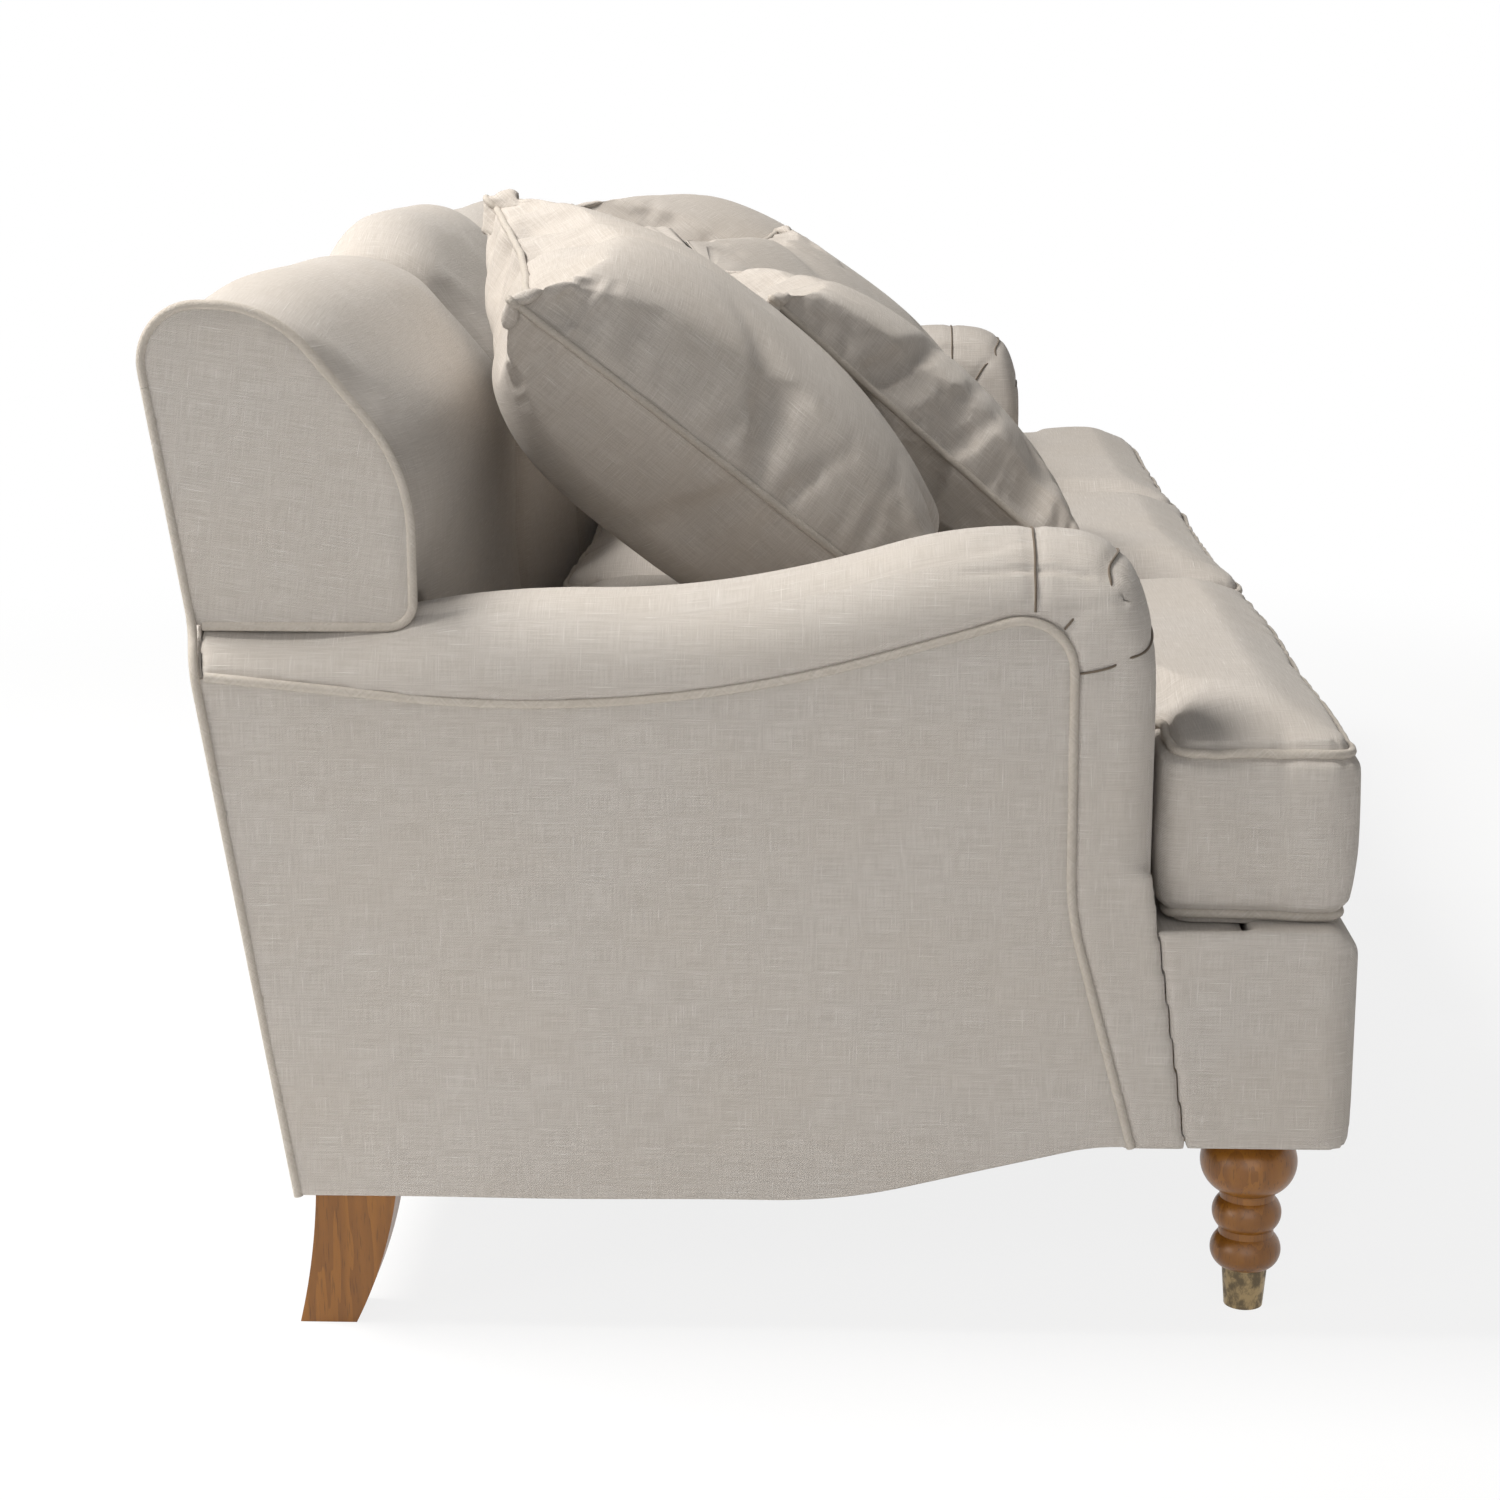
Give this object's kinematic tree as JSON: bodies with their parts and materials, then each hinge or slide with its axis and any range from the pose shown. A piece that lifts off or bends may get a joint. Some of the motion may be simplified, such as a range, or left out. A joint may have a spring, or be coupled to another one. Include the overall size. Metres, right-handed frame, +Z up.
{
  "type": "english roll arm sofa",
  "caption": "Upholstered sofa with low rolled arms, a tight back in crowned sections, T-shaped seat cushions, loose throw pillows, turned front legs in brass cups and sabre rear legs.",
  "frame": {"origin": "on the floor, under the centre of the whole sofa's bounding box", "axes": "+X along the seat (to the right of someone who faces the sofa), -Y towards the front, +Z up"},
  "size_m": [2.094, 1, 0.9225],
  "materials": {
    "sofa_linen": "woven linen, matt",
    "piping_linen": "woven linen piping, matt",
    "pillow_linen": "woven linen, matt",
    "lining_cloth": "plain lining cloth",
    "cushion_filling": "foam with a soft wrap",
    "webbing": "jute webbing",
    "frame_wood": "sawn hardwood",
    "leg_wood": "stained and waxed",
    "brass": "aged",
    "spring_steel": "drawn wire",
    "bolt_steel": "zinc plated"
  },
  "bodies": {
    "root": {"arm_pad_left": "sofa_linen", "arm_pad_right": "sofa_linen", "arm_stump_left": "frame_wood", "arm_stump_right": "frame_wood", "arm_top_rail_left": "frame_wood", "arm_top_rail_right": "frame_wood", "arm_welt_left": "piping_linen", "arm_welt_right": "piping_linen", "back_end_panel_left": "sofa_linen", "back_end_panel_right": "sofa_linen", "back_end_welt_left": "piping_linen", "back_end_welt_right": "piping_linen", "back_lower_rail": "frame_wood", "back_middle_post_left": "frame_wood", "back_middle_post_right": "frame_wood", "back_pad_centre": "sofa_linen", "back_pad_left": "sofa_linen", "back_pad_right": "sofa_linen", "back_post_left": "frame_wood", "back_post_right": "frame_wood", "back_top_rail": "frame_wood", "back_webbing": "webbing", "corner_blocks": "frame_wood", "dust_cover": "lining_cloth", "ferrule_left": "brass", "ferrule_right": "brass", "front_border": "sofa_linen", "front_leg_left": "leg_wood", "front_leg_right": "leg_wood", "front_rail": "frame_wood", "hanger_bolts": "bolt_steel", "outer_arm_panel_left": "sofa_linen", "outer_arm_panel_right": "sofa_linen", "outside_back_panel": "sofa_linen", "rear_edge_welt_left": "piping_linen", "rear_edge_welt_right": "piping_linen", "rear_leg_left": "leg_wood", "rear_leg_right": "leg_wood", "rear_rail": "frame_wood", "seat_core_centre": "cushion_filling", "seat_core_left": "cushion_filling", "seat_core_right": "cushion_filling", "seat_cushion_centre": "sofa_linen", "seat_cushion_left": "sofa_linen", "seat_cushion_right": "sofa_linen", "seat_deck_pad": "lining_cloth", "seat_springs": "spring_steel", "seat_stretcher_left": "frame_wood", "seat_stretcher_right": "frame_wood", "side_rail_left": "frame_wood", "side_rail_right": "frame_wood", "spring_clips": "spring_steel", "throw_pillow_corner_left": "pillow_linen", "throw_pillow_corner_right": "pillow_linen", "throw_pillow_front_left": "pillow_linen", "throw_pillow_front_right": "pillow_linen"}
  },
  "joints": []
}
